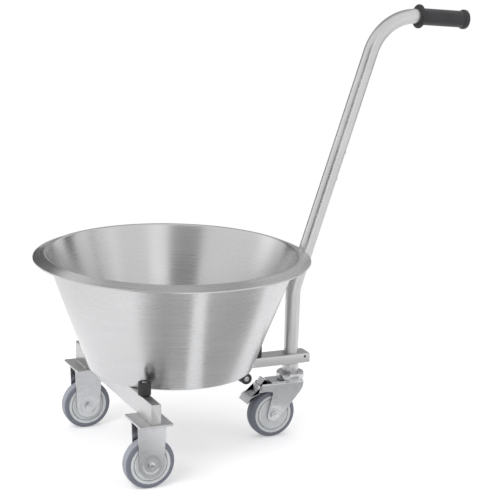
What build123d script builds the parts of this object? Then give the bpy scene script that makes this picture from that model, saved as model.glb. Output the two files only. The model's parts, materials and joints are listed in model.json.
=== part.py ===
from build123d import *
import math
import os

# Wheeled bowl trolley: a loose conical bowl on a T frame with two fixed castors,
# one braked swivel castor and a leaning push handle. Millimetres, +Z up, +X towards the handle.
# The origin is on the floor, at the middle of the overall length and width.

# Wheels
wheel_diameter = 100.0
tyre_width = 26.0
tyre_depth = 10.0
tyre_shoulder = 8.0
rim_wall = 6.0
web_thickness = 6.0
spoke_thickness = 3.0
spoke_count = 6
hub_radius = 13.0
hub_overhang = 1.3
hub_side_gap = 0.5
guard_groove = 1.2
guard_hub_gap = 0.5
guard_thickness = 1.6
axle_radius = 4.0
axle_clearance = 0.1
axle_head_flats = 13.0
axle_head_height = 5.3
axle_nut_height = 6.5
axle_thread_end = 2.5
axle_sleeve_wall = 2.4
running_clearance = 0.05

# Pressed fork sheets
fork_sheet = 2.5
fork_bend = 3.5
fork_boss_radius = 17.0
fork_boss_depth = 1.0

# Fixed castors
fixed_headroom = 36.0
track_width = 363.0
plate_length = 68.0
plate_width = 85.0
plate_thickness = 4.0
plate_corner = 4.0
fixed_leg_width = 58.0
fixed_foot_radius = 25.0

# Swivel castor
swivel_headroom = 30.0
trail = 42.0
fork_top_drop = 12.0
fork_front_reach = 29.0
fork_back_reach = 23.0
fork_front_depth = 18.5
fork_throat_x = 3.0
fork_throat_bend = 6.0
fork_cheek_bend = 3.0
fork_back_bend = 8.0
swivel_foot_radius = 14.0
swivel_leg_slope = 48.6
fork_slot_end = 10.0
crown_sheet = 3.0
crown_overhang = 1.0
crown_front_reach = 14.0
race_radius = 31.5
race_wall = 2.0
race_lip = 3.0
head_radius = 27.0
head_plate = 2.5
head_skirt_wall = 2.0
head_skirt_drop = 4.5
ball_radius = 2.9
ball_circle = 20.0
ball_count = 12
ball_gap = 0.35
kingpin_radius = 9.0
kingpin_flange_radius = 13.0
kingpin_flange_height = 2.5
kingpin_play = 0.3
castor_bolt_radius = 6.0
castor_bolt_flats = 19.0
castor_bolt_head = 7.5

# Brake
brake_pivot_x = 2.0
brake_pivot_drop = 7.5
foot_tread_tip = (-66.0, -27.5)
foot_tread_crease = (-58.0, -18.0)
foot_tread_top = (-48.0, -4.5)
tread_valley = (-37.0, 2.0)
release_tread_foot = (-35.0, 8.5)
release_tread_peak = (-28.0, 19.5)
release_tread_back = (-19.0, 11.0)
arm_underside = (-40.0, -11.0)
arm_waist = (-20.0, -8.0)
brake_pin_radius = 3.0
brake_pin_recess = 0.8
brake_sheet = 2.0
brake_side_gap = 1.0
brake_ear_radius = 6.8
tread_width = 38.0
tread_bend = 2.5
rib_height = 0.8
rib_count = 3
shoe_gap = 5.5
shoe_thickness = 4.0
shoe_start = 97.0
shoe_end = 122.0

# Frame tubes
bar_depth = 40.0
bar_width = 20.0
bar_wall = 2.0
bar_corner = 2.5
crossbar_length = 437.0
crossbar_setback = 115.0
spine_overhang = 34.5
cap_thickness = 2.0
vent_radius = 2.5
vent_drop = 6.0
vent_inset = 11.5
pipe_radius = 16.85
pipe_wall = 2.6
plug_length = 18.0
plug_inset = 2.0

# Bowl
rim_radius = 273.7
mouth_radius = 249.0
base_radius = 163.0
bowl_height = 233.3
rim_drop = 9.5
bowl_sheet = 1.5
base_bend = 6.0
rim_bend = 4.0
bead_radius = 1.7

# Rubber buffers and their screws
buffer_radius = 12.5
buffer_height = 26.0
buffer_edge = 1.5
buffer_spread = 156.0
buffer_bowl_gap = 1.0
screw_radius = 3.0
screw_clearance = 0.1
screw_head_radius = 5.8
screw_head_height = 3.4
screw_seat_depth = 4.0
screw_seat_gap = 0.4
nut_flats = 10.0
nut_height = 5.0
screw_end = 1.5
stop_setback = 156.0
stop_drop = 18.0
stop_length = 20.0
stop_radius = 11.5
bracket_sheet = 4.0
bracket_offset = 6.0
bracket_width = 26.0

# Handle
post_setback = 267.5
tube_radius = 15.0
tube_wall = 2.0
post_bend_height = 311.0
post_bend_radius = 90.0
lean_angle = 17.85
seam_height = 567.0
top_bend_height = 868.5
top_bend_radius = 100.0
grip_droop = 4.3
grip_reach = 195.6
spigot_length = 110.0
spigot_wall = 2.0
fit_gap = 0.05
joint_screw_offset = 28.0
joint_screw_radius = 2.5
joint_screw_head = 4.2
joint_screw_head_height = 2.6
joint_screw_length = 6.0

# Grip
grip_length = 116.0
grip_radius = 17.0
grip_guard_radius = 24.5
grip_guard_thickness = 6.5
grip_guard_edge = 2.6
grip_collar_rise = 0.9
grip_collar_width = 4.5
grip_bulge_radius = 20.0
grip_bulge_length = 11.0
grip_bulge_edge = 4.5
grip_end_wall = 5.0

# Heights and places worked out from the sizes above
wheel_radius = wheel_diameter / 2
core_radius = wheel_radius - tyre_depth
tyre_half = tyre_width / 2
castor_height = wheel_diameter + fixed_headroom
swivel_height = wheel_diameter + swivel_headroom
hub_half = tyre_half + hub_overhang
sleeve_radius = axle_radius + axle_clearance + axle_sleeve_wall
boss_face = hub_half + hub_side_gap
leg_inner = boss_face + fork_boss_depth
leg_outer = leg_inner + fork_sheet
seat_face = leg_outer - fork_boss_depth
frame_top = castor_height + bar_depth
spine_bottom = frame_top - bar_width
fork_top = swivel_height - fork_top_drop
crown_top = fork_top + crown_sheet
lean_slope = math.tan(math.radians(lean_angle))
bend_offset = (top_bend_height - post_bend_height) * lean_slope
grip_run = grip_reach * math.cos(math.radians(grip_droop))
bowl_x = (rim_radius - post_setback - bend_offset - grip_run) / 2
post_x = bowl_x + post_setback
crossbar_x = bowl_x - crossbar_setback
spine_start = crossbar_x + bar_width / 2
spine_end = post_x + spine_overhang
rear_wheel_x = post_x - trail
bowl_slope = (mouth_radius - base_radius) / bowl_height
rear_buffer_x = bowl_x + base_radius + bowl_slope * buffer_height + buffer_bowl_gap + buffer_radius + bowl_sheet
stop_x = bowl_x + stop_setback
buffer_places = [(crossbar_x, -buffer_spread), (crossbar_x, buffer_spread), (rear_buffer_x, 0.0)]


def block(low_x, high_x, low_y, high_y, low_z, high_z):
    """A box between two corners."""
    middle = Pos((low_x + high_x) / 2, (low_y + high_y) / 2, (low_z + high_z) / 2)
    return middle * Box(high_x - low_x, high_y - low_y, high_z - low_z)


def rod_z(radius, low_z, high_z, x=0.0, y=0.0):
    """An upright cylinder."""
    return Pos(x, y, (low_z + high_z) / 2) * Cylinder(radius, high_z - low_z)


def rod_y(radius, low_y, high_y, x=0.0, z=0.0):
    """A cylinder along Y."""
    return Pos(x, (low_y + high_y) / 2, z) * Rot(90, 0, 0) * Cylinder(radius, high_y - low_y)


def hexagon_z(flats, low_z, high_z, x=0.0, y=0.0):
    """An upright hexagonal bar, given its size across the flats."""
    outline = Pos(x, y, low_z) * RegularPolygon(flats / 2, 6, major_radius=False)
    return extrude(outline, high_z - low_z)


def hexagon_y(flats, low_y, high_y, x=0.0, z=0.0):
    """The same bar lying along Y."""
    return Pos(x, 0, z) * Rot(-90, 0, 0) * hexagon_z(flats, low_y, high_y)


def rectangle(low_a, high_a, low_b, high_b):
    """A flat rectangle between two corners of its plane."""
    return Pos((low_a + high_a) / 2, (low_b + high_b) / 2) * Rectangle(high_a - low_a, high_b - low_b)


def slab(outline, low_y, high_y, x=0.0, z=0.0):
    """An outline drawn in X and Z, given a thickness along Y and moved to its place."""
    return Pos(x, high_y, z) * extrude(Plane.XZ * outline, high_y - low_y)


def save(name, shape):
    """Writes one sub-part to its own file."""
    export_step(Compound(label=name, children=list(shape.solids())), f"parts/{name}.step")


# Wheels, drawn about the Y axis at the origin


def tyre():
    """Rubber ring with rounded shoulders."""
    section = rectangle(core_radius, wheel_radius, -tyre_half, tyre_half)
    shoulders = section.vertices().group_by(Axis.X)[-1]
    return revolve(fillet(shoulders, tyre_shoulder), axis=Axis.Y)


def wheel_core():
    """Moulded centre: rim, web, spokes and a hub bored to run on the axle sleeve."""
    rim_inner = core_radius - rim_wall
    bore = sleeve_radius + running_clearance
    rim = rectangle(rim_inner, core_radius, -tyre_half, tyre_half)
    web = rectangle(hub_radius, rim_inner, -web_thickness / 2, web_thickness / 2)
    hub = rectangle(bore, hub_radius, -hub_half, hub_half)
    body = revolve(rim + web + hub, axis=Axis.Y)
    spoke_half = tyre_half - guard_thickness
    spoke = block(
        hub_radius - spoke_thickness / 2,
        rim_inner + spoke_thickness / 2,
        -spoke_half,
        spoke_half,
        -spoke_thickness / 2,
        spoke_thickness / 2,
    )
    for turn in range(spoke_count):
        body += Rot(0, turn * 360 / spoke_count, 0) * spoke
    return body


def thread_guards():
    """The two light discs that close the wheel's sides, lying on the spokes."""
    inner = hub_radius + guard_hub_gap
    outer = core_radius - rim_wall - guard_groove
    section = rectangle(inner, outer, tyre_half - guard_thickness, tyre_half)
    guard = revolve(section, axis=Axis.Y)
    return guard + mirror(guard, about=Plane.XZ)


def axle_sleeve():
    """Spacer tube clamped between the fork's bosses, on which the hub turns."""
    return rod_y(sleeve_radius, -boss_face, boss_face) - rod_y(axle_radius + axle_clearance, -boss_face, boss_face)


def axle_bolt(seat):
    """Hexagon bolt, its head on the near side."""
    head = hexagon_y(axle_head_flats, -seat - axle_head_height, -seat)
    return head + rod_y(axle_radius, -seat, seat + axle_nut_height + axle_thread_end)


def axle_nut(seat):
    """Nut on the far side, tapped to clear the bolt's thread."""
    nut = hexagon_y(axle_head_flats, seat, seat + axle_nut_height)
    return nut - rod_y(axle_radius + axle_clearance, seat, seat + axle_nut_height)


def save_wheel(name, x, y):
    """All the pieces of one wheel and its axle, at the axle's place."""
    place = Pos(x, y, wheel_radius)
    save(f"{name}_tyre", place * tyre())
    save(f"{name}_wheel_core", place * wheel_core())
    save(f"{name}_thread_guards", place * thread_guards())
    save(f"{name}_axle_sleeve", place * axle_sleeve())
    save(f"{name}_axle_bolt", place * axle_bolt(seat_face))
    save(f"{name}_axle_nut", place * axle_nut(seat_face))


# Castor forks, drawn with the axle at the origin


def fork_channel(top, low_x, high_x, foot_radius):
    """A sheet bent into an upside-down U, wide enough for any leg outline cut from it."""
    outer = rectangle(-leg_outer, leg_outer, -foot_radius, top)
    outer = fillet(outer.vertices().group_by(Axis.Y)[-1], fork_bend)
    inner = rectangle(-leg_inner, leg_inner, -foot_radius, top - fork_sheet)
    inner = fillet(inner.vertices().group_by(Axis.Y)[-1], fork_bend - fork_sheet)
    return Pos(low_x, 0, 0) * extrude(Plane.YZ * (outer - inner), high_x - low_x)


def press_bosses(fork):
    """Dishes each leg inwards round the axle hole and drills the hole."""
    for side in (-1, 1):
        dish = rod_y(fork_boss_radius, seat_face, leg_outer)
        pad = rod_y(fork_boss_radius, boss_face, leg_inner)
        fork = fork - Rot(0, 0, 90 - 90 * side) * dish + Rot(0, 0, 90 - 90 * side) * pad
    return fork - rod_y(axle_radius + axle_clearance, -leg_outer, leg_outer)


def fixed_fork():
    """Straight fork whose legs taper to a round foot at the axle."""
    top = castor_height - plate_thickness - wheel_radius
    half = fixed_leg_width / 2
    foot = fixed_foot_radius
    taper = make_face(Polyline((-half, top), (half, top), (foot, 0), (-foot, 0), close=True))
    outline = taper + Circle(foot)
    channel = fork_channel(top, -half, half, foot)
    return press_bosses(channel & slab(outline, -leg_outer, leg_outer))


def fixed_plate():
    """Flat plate welded under the crossbar."""
    low = castor_height - plate_thickness
    return extrude(Pos(0, 0, low) * RectangleRounded(plate_length, plate_width, plate_corner), plate_thickness)


def swivel_leg_outline(top):
    """Raked leg: a deep front cheek, a rounded throat over the tyre and a sloping back edge."""
    slope = math.radians(swivel_leg_slope)
    back_x = trail + fork_back_reach
    foot = swivel_foot_radius
    foot_back = (foot * math.sin(slope), -foot * math.cos(slope))
    back_z = foot_back[1] + (back_x - foot_back[0]) * math.tan(slope)
    throat_z = top - fork_front_depth
    points = [(-fork_front_reach, top), (-fork_front_reach, throat_z), (-fork_throat_x, throat_z), (-foot, 0)]
    points += [foot_back, (back_x, back_z), (back_x, top)]
    bends = [0, fork_cheek_bend, fork_throat_bend, 0, 0, fork_back_bend, 0]
    return make_face(FilletPolyline(*points, radius=bends, close=True)) + Circle(foot)


def swivel_fork():
    """Raked fork with a slot in its top for the brake arms, bored for the kingpin and the brake pin."""
    top = fork_top - wheel_radius
    channel = fork_channel(top, -fork_front_reach, trail + fork_back_reach, swivel_foot_radius)
    fork = press_bosses(channel & slab(swivel_leg_outline(top), -leg_outer, leg_outer))
    fork -= block(-fork_front_reach, fork_slot_end, -leg_inner, leg_inner, top - fork_sheet, top)
    fork -= rod_z(kingpin_radius + running_clearance, top - fork_sheet, top, trail)
    pin_z = top - brake_pivot_drop
    return fork - rod_y(brake_pin_radius + running_clearance, -leg_outer, leg_outer, brake_pivot_x, pin_z)


def crown_plate():
    """Stiffening plate on the fork's top, round about the kingpin and lipped as a ball race."""
    low = fork_top - wheel_radius
    high = low + crown_sheet
    half = leg_outer + crown_overhang
    outline = rectangle(-crown_front_reach, trail, -half, half) + Pos(trail, 0) * Circle(race_radius)
    plate = extrude(Pos(0, 0, low) * outline, crown_sheet)
    lip = rod_z(race_radius, low, high + race_lip, trail) - rod_z(race_radius - race_wall, low, high + race_lip, trail)
    return plate + lip - rod_z(kingpin_radius + running_clearance, low, high, trail)


# Swivel bearing, drawn about the kingpin


def swivel_head():
    """Upper race: a flat cap with a short skirt outside the balls."""
    inner = head_radius - head_skirt_wall
    plate_low = swivel_height - head_plate
    plate = rectangle(kingpin_radius + fit_gap, head_radius, plate_low, swivel_height)
    skirt = rectangle(inner, head_radius, plate_low - head_skirt_drop, plate_low)
    return revolve(Plane.XZ * (plate + skirt), axis=Axis.Z)


def swivel_balls():
    """One row of balls between the crown plate and the upper race."""
    ball = Pos(ball_circle, 0, crown_top + ball_gap + ball_radius) * Sphere(ball_radius)
    return Part() + [Rot(0, 0, turn * 360 / ball_count) * ball for turn in range(ball_count)]


def kingpin():
    """Hollow rivet that holds the fork up to the upper race."""
    flange_top = fork_top - fork_sheet - kingpin_play
    flange_low = flange_top - kingpin_flange_height
    pin = rod_z(kingpin_radius, flange_top, swivel_height) + rod_z(kingpin_flange_radius, flange_low, flange_top)
    return pin - rod_z(castor_bolt_radius + screw_clearance, flange_low, swivel_height)


def castor_bolt():
    """Bolt up through the kingpin into the sleeve's plug."""
    seat = fork_top - fork_sheet - kingpin_play - kingpin_flange_height
    head = hexagon_z(castor_bolt_flats, seat - castor_bolt_head, seat)
    return head + rod_z(castor_bolt_radius, seat, swivel_height + plug_inset + plug_length)


def castor_sleeve():
    """Short pipe welded under the spine."""
    pipe = rod_z(pipe_radius, swivel_height, spine_bottom)
    return pipe - rod_z(pipe_radius - pipe_wall, swivel_height, spine_bottom)


def sleeve_plug():
    """Tapped plug inside the pipe."""
    low = swivel_height + plug_inset
    plug = rod_z(pipe_radius - pipe_wall - fit_gap, low, low + plug_length)
    return plug - rod_z(castor_bolt_radius + screw_clearance, low, low + plug_length)


# Brake, drawn in side view about its pin


def bent_strip(points, half_width):
    """Sheet bent along a side view, with a width along Y."""
    line = FilletPolyline(*points, radius=tread_bend)
    return slab(trace(line, brake_sheet), -half_width, half_width)


def tread_ribs(low, high, half_width):
    """Ribs across one flat of a tread, evenly spread, standing out from its upper face."""
    run = Vector(high[0] - low[0], 0, high[1] - low[1])
    out = Vector(-run.Z, 0, run.X).normalized() * (brake_sheet / 2)
    rib = rod_y(rib_height, -half_width, half_width)
    start = Vector(low[0], 0, low[1]) + out
    return [Pos(*(start + run * (index / (rib_count + 1)))) * rib for index in range(1, rib_count + 1)]


def brake_pedal():
    """Rocking pedal: a foot tread in front, a release tread on top and two arms to the pin."""
    arm_outer = leg_inner - brake_side_gap
    foot_half = tread_width / 2
    foot_tread = bent_strip([foot_tread_tip, foot_tread_crease, foot_tread_top, tread_valley], foot_half)
    release_tread = bent_strip(
        [tread_valley, release_tread_foot, release_tread_peak, release_tread_back], arm_outer
    )
    pedal = foot_tread + release_tread
    pedal += tread_ribs(foot_tread_tip, foot_tread_crease, foot_half)
    pedal += tread_ribs(foot_tread_crease, foot_tread_top, foot_half)
    pedal += tread_ribs(release_tread_foot, release_tread_peak, arm_outer)
    ear = brake_ear_radius
    points = [(0, ear), (release_tread_back[0], ear), release_tread_foot, tread_valley]
    points += [foot_tread_top, foot_tread_crease, arm_underside, arm_waist, (0, -ear)]
    arm = make_face(Polyline(*points, close=True)) + Circle(ear)
    for side in (-1, 1):
        middle = side * (arm_outer - brake_sheet / 2)
        pedal += slab(arm, middle - brake_sheet / 2, middle + brake_sheet / 2)
    return pedal - rod_y(brake_pin_radius + running_clearance, -arm_outer, arm_outer)


def brake_pin():
    """Pin across the fork, its ends just inside the legs' faces."""
    end = leg_outer - brake_pin_recess
    return rod_y(brake_pin_radius, -end, end)


def brake_shoe():
    """Curved pad between the arms, a little off the tyre, drawn about the axle."""
    half = leg_inner - brake_side_gap - brake_sheet
    middle = wheel_radius + shoe_gap + shoe_thickness / 2
    return slab(trace(CenterArc((0, 0), middle, shoe_start, shoe_end - shoe_start), shoe_thickness), -half, half)


# Frame


def tube_section(width, depth):
    """Rectangular tube with rounded corners."""
    inner = RectangleRounded(width - 2 * bar_wall, depth - 2 * bar_wall, bar_corner - bar_wall)
    return RectangleRounded(width, depth, bar_corner) - inner


def crossbar_tube():
    """Tube on edge across the front, drilled through its top for the buffer screws."""
    length = crossbar_length - 2 * cap_thickness
    section = Plane.XZ.offset(-length / 2) * tube_section(bar_width, bar_depth)
    tube = Pos(crossbar_x, 0, frame_top - bar_depth / 2) * extrude(section, length)
    for side in (-1, 1):
        tube -= rod_z(screw_radius + screw_clearance, frame_top - bar_wall, frame_top, crossbar_x, side * buffer_spread)
    return tube


def crossbar_end_caps():
    """The plates that close the crossbar's ends."""
    plate = Plane.XZ * RectangleRounded(bar_width, bar_depth, bar_corner)
    cap = Pos(crossbar_x, 0, frame_top - bar_depth / 2) * extrude(plate, cap_thickness)
    return Part() + [Pos(0, crossbar_length / 2, 0) * cap, Pos(0, cap_thickness - crossbar_length / 2, 0) * cap]


def spine_tube():
    """Flat tube from the crossbar to the handle, with a small vent hole in its near side."""
    end = spine_end - cap_thickness
    section = Plane.YZ.offset(spine_start) * tube_section(bar_depth, bar_width)
    tube = Pos(0, 0, frame_top - bar_width / 2) * extrude(section, end - spine_start)
    tube -= rod_z(screw_radius + screw_clearance, frame_top - bar_wall, frame_top, rear_buffer_x)
    near_wall = -bar_depth / 2
    return tube - rod_y(vent_radius, near_wall, near_wall + bar_wall, spine_end - vent_inset, frame_top - vent_drop)


def spine_end_cap():
    """The plate that closes the spine's rear end."""
    plate = Plane.YZ.offset(spine_end - cap_thickness) * RectangleRounded(bar_depth, bar_width, bar_corner)
    return Pos(0, 0, frame_top - bar_width / 2) * extrude(plate, cap_thickness)


# Rubber buffers, drawn standing on the face that carries them


def buffer(radius, height):
    """Rubber cylinder with a sunk screw hole."""
    section = rectangle(screw_radius + screw_clearance, radius, 0, height)
    section = fillet(section.vertices().group_by(Axis.X)[-1], buffer_edge)
    recess = rod_z(screw_head_radius + screw_seat_gap, height - screw_seat_depth, height)
    return revolve(Plane.XZ * section, axis=Axis.Z) - recess


def buffer_screw(height, sheet):
    """Cheese-head screw down through the buffer and the sheet below it."""
    seat = height - screw_seat_depth
    head = rod_z(screw_head_radius, seat, seat + screw_head_height)
    return head + rod_z(screw_radius, -sheet - nut_height - screw_end, seat)


def buffer_nut(sheet):
    """Nut under the sheet."""
    nut = hexagon_z(nut_flats, -sheet - nut_height, -sheet)
    return nut - rod_z(screw_radius + screw_clearance, -sheet - nut_height, -sheet)


def stop_bracket():
    """Round-ended tab welded under the spine, carrying the stop buffer."""
    low = -stop_drop
    half = bracket_width / 2
    outline = rectangle(-half, half, low, 0) + Pos(0, low) * Circle(half) - Pos(0, low) * Circle(
        screw_radius + screw_clearance
    )
    return slab(outline, -bracket_offset - bracket_sheet, -bracket_offset, stop_x, spine_bottom)


# Bowl


def bowl():
    """Drawn bowl: flat base, straight conical wall and a sloping rim with a rolled bead."""
    low = bowl_sheet / 2
    points = [(0, low), (base_radius, low), (mouth_radius, bowl_height), (rim_radius - bead_radius, bowl_height - rim_drop)]
    sheet = trace(FilletPolyline(*points, radius=[base_bend, rim_bend]), bowl_sheet)
    bead_z = bowl_height - rim_drop - bead_radius + bowl_sheet / 2
    section = sheet + Pos(rim_radius - bead_radius, bead_z) * Circle(bead_radius)
    return Pos(bowl_x, 0, frame_top) * revolve(Plane.XZ * section, axis=Axis.Z)


# Handle


lean = Vector(math.sin(math.radians(lean_angle)), 0, math.cos(math.radians(lean_angle)))
across = Vector(lean.Z, 0, -lean.X)
droop = Vector(math.cos(math.radians(grip_droop)), 0, -math.sin(math.radians(grip_droop)))
post_foot = Vector(post_x, 0, frame_top)
post_bend = Vector(post_x, 0, post_bend_height)
seam = Vector(post_x + (seam_height - post_bend_height) * lean_slope, 0, seam_height)
top_bend = Vector(post_x + bend_offset, 0, top_bend_height)


def bent_tube(points, radius):
    """Round tube along two straight runs joined by a bend."""
    path = FilletPolyline(*points, radius=radius)
    section = Circle(tube_radius) - Circle(tube_radius - tube_wall)
    return sweep(Plane(origin=path @ 0, z_dir=path % 0) * section, path=path)


def screw_plane(side):
    """Where a joint screw enters: on the tube's axis, looking out of its back."""
    return Plane(origin=seam + lean * (side * joint_screw_offset), x_dir=(0, 1, 0), z_dir=across)


def drill_for_screws(shape, sides):
    """Drills the back wall of a handle piece for its joint screws."""
    for side in sides:
        shape -= screw_plane(side) * rod_z(joint_screw_radius + screw_clearance, 0, tube_radius + tube_wall)
    return shape


def handle_spigot():
    """Inner sleeve across the seam."""
    radius = tube_radius - tube_wall - fit_gap
    plane = Plane(origin=seam - lean * (spigot_length / 2), z_dir=lean)
    sleeve = plane * (rod_z(radius, 0, spigot_length) - rod_z(radius - spigot_wall, 0, spigot_length))
    return drill_for_screws(sleeve, (-1, 1))


def handle_screws():
    """Button-head screws at the back of the handle, one in each half."""
    low = tube_radius - joint_screw_length
    head_top = tube_radius + joint_screw_head_height
    screw = rod_z(joint_screw_radius, low, tube_radius) + rod_z(joint_screw_head, tube_radius, head_top)
    return Part() + [screw_plane(side) * screw for side in (-1, 1)]


def handle_grip():
    """Moulded grip: guard disc, collar, plain barrel and a bulged end, closed over the tube's end."""
    guard = rectangle(0, grip_guard_radius, 0, grip_guard_thickness)
    guard = fillet(guard.vertices().group_by(Axis.X)[-1], grip_guard_edge)
    collar_end = grip_guard_thickness + grip_collar_width
    collar = rectangle(0, grip_radius + grip_collar_rise, 0, collar_end)
    barrel = rectangle(0, grip_radius, 0, grip_length - grip_bulge_length / 2)
    bulge = rectangle(0, grip_bulge_radius, grip_length - grip_bulge_length, grip_length)
    bulge = fillet(bulge.vertices().group_by(Axis.X)[-1], grip_bulge_edge)
    body = revolve(Plane.XZ * (guard + collar + barrel + bulge), axis=Axis.Z)
    body -= rod_z(tube_radius + fit_gap, 0, grip_length - grip_end_wall)
    return Plane(origin=top_bend + droop * (grip_reach - grip_length), x_dir=(0, 1, 0), z_dir=droop) * body


def save_frame():
    """The welded frame, its buffers and the handle."""
    save("crossbar_tube", crossbar_tube())
    save("crossbar_end_caps", crossbar_end_caps())
    save("spine_tube", spine_tube())
    save("spine_end_cap", spine_end_cap())
    save("castor_sleeve", Pos(post_x, 0, 0) * castor_sleeve())
    save("sleeve_plug", Pos(post_x, 0, 0) * sleeve_plug())
    places = [Pos(x, y, frame_top) for x, y in buffer_places]
    for name, place in zip(("front_near_buffer", "front_far_buffer", "rear_buffer"), places):
        save(name, place * buffer(buffer_radius, buffer_height))
    save("buffer_screws", Part() + [place * buffer_screw(buffer_height, bar_wall) for place in places])
    save("buffer_nuts", Part() + [place * buffer_nut(bar_wall) for place in places])
    stop_face = Pos(stop_x, -bracket_offset - bracket_sheet, spine_bottom - stop_drop) * Rot(90, 0, 0)
    save("stop_bracket", stop_bracket())
    save("stop_buffer", stop_face * buffer(stop_radius, stop_length))
    save("stop_screw", stop_face * buffer_screw(stop_length, bracket_sheet))
    save("stop_nut", stop_face * buffer_nut(bracket_sheet))


def save_handle():
    """The two tubes, the spigot between them, its screws and the grip."""
    tube_end = top_bend + droop * (grip_reach - grip_end_wall)
    save("handle_lower_tube", drill_for_screws(bent_tube([post_foot, post_bend, seam], post_bend_radius), (-1,)))
    save("handle_upper_tube", drill_for_screws(bent_tube([seam, top_bend, tube_end], top_bend_radius), (1,)))
    save("handle_spigot", handle_spigot())
    save("handle_screws", handle_screws())
    save("handle_grip", handle_grip())


def save_fixed_castor(name, y):
    """One fixed castor under an end of the crossbar."""
    save(f"{name}_plate", Pos(crossbar_x, y, 0) * fixed_plate())
    save(f"{name}_fork", Pos(crossbar_x, y, wheel_radius) * fixed_fork())
    save_wheel(name, crossbar_x, y)


def save_swivel_castor():
    """The braked swivel castor, trailing forwards under the bowl."""
    wheel_place = Pos(rear_wheel_x, 0, wheel_radius)
    head_place = Pos(post_x, 0, 0)
    brake_place = Pos(rear_wheel_x + brake_pivot_x, 0, fork_top - brake_pivot_drop)
    save("swivel_head", head_place * swivel_head())
    save("swivel_balls", head_place * swivel_balls())
    save("kingpin", head_place * kingpin())
    save("castor_bolt", head_place * castor_bolt())
    save("swivel_fork", wheel_place * swivel_fork())
    save("crown_plate", wheel_place * crown_plate())
    save_wheel("swivel", rear_wheel_x, 0)
    save("brake_pedal", brake_place * brake_pedal())
    save("brake_pin", brake_place * brake_pin())
    save("brake_shoe", wheel_place * brake_shoe())


os.makedirs("parts", exist_ok=True)
save_frame()
save_handle()
save("bowl", bowl())
save_fixed_castor("near", -track_width / 2)
save_fixed_castor("far", track_width / 2)
save_swivel_castor()
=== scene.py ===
import json
import math

import bmesh
import bpy
import numpy as np
from bpy.props import FloatProperty, FloatVectorProperty, IntProperty
from mathutils import Matrix, Vector


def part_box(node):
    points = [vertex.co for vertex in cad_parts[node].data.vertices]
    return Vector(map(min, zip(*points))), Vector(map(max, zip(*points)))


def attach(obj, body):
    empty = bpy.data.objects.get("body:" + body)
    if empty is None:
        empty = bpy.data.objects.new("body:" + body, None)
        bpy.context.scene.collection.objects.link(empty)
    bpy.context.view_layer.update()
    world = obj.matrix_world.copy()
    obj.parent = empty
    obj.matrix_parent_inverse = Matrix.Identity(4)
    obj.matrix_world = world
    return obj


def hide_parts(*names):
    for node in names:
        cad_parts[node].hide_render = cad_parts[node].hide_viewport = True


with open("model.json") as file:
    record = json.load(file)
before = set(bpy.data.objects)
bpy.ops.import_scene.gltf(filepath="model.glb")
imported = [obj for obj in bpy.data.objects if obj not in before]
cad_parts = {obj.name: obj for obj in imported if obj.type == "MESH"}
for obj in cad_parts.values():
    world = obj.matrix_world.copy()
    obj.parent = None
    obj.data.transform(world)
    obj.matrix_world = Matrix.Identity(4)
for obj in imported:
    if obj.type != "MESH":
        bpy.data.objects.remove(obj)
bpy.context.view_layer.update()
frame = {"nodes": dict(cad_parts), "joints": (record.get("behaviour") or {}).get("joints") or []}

bl_info = {
    "name": "Bowl trolley",
    "version": (1, 0, 0),
    "blender": (4, 5, 0),
    "location": "View3D > Sidebar > Trolley",
    "description": "Dresses the frame of a wheeled bowl trolley with finished surfaces",
    "category": "Add Mesh",
}

JOINTS = {joint["name"]: joint for joint in frame["joints"]}

# Places along the trolley, in millimetres, read from the frame's joints.
POST_X = JOINTS["castor_swivel"]["pos_m"][0] * 1000
REAR_WHEEL_X = JOINTS["swivel_wheel_spin"]["pos_m"][0] * 1000
CROSSBAR_X = JOINTS["near_wheel_spin"]["pos_m"][0] * 1000
TRACK = JOINTS["far_wheel_spin"]["pos_m"][1] * 1000
AXLE_Z = JOINTS["near_wheel_spin"]["pos_m"][2] * 1000
BOWL_X = CROSSBAR_X + 115
FRAME_TOP = 176.0
SPINE_END = POST_X + 34.5

X_AXIS = (1.0, 0.0, 0.0)
Y_AXIS = (0.0, 1.0, 0.0)
Z_AXIS = (0.0, 0.0, 1.0)


def length(label, words, default):
    """A size in metres, shown in the scene's own unit."""
    return FloatProperty(name=label, description=words, default=default, min=0.0, unit="LENGTH", precision=4)


def colour(label, words, default):
    """A surface colour."""
    return FloatVectorProperty(name=label, description=words, default=default, min=0.0, max=1.0, subtype="COLOR")


class TrolleyBowlSizes(bpy.types.PropertyGroup):
    rim_radius: length("Rim radius", "Outer radius of the rolled rim", 0.2737)
    mouth_radius: length("Mouth radius", "Radius where the wall turns into the rim", 0.249)
    base_radius: length("Base radius", "Radius where the wall meets the base", 0.163)
    height: length("Height", "Height of the bowl above the frame", 0.2333)
    rim_drop: length("Rim drop", "How far the rim slopes down outwards", 0.0095)
    sheet: length("Sheet", "Thickness of the drawn sheet", 0.0015)


class TrolleyHandleSizes(bpy.types.PropertyGroup):
    tube_radius: length("Tube radius", "Outer radius of the handle tube", 0.015)
    grip_radius: length("Grip radius", "Radius of the grip's plain barrel", 0.017)
    grip_length: length("Grip length", "Length of the grip with its guard", 0.116)
    guard_radius: length("Guard radius", "Radius of the grip's guard disc", 0.0245)
    bulge_radius: length("Bulge radius", "Radius of the grip's rounded end", 0.020)


class TrolleyCastorSizes(bpy.types.PropertyGroup):
    wheel_radius: length("Wheel radius", "Radius of the castor wheels", 0.050)
    tyre_width: length("Tyre width", "Width of the tyre", 0.026)
    spokes: IntProperty(name="Spokes", description="Spokes behind each side disc", default=6, min=3, max=12)


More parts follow.
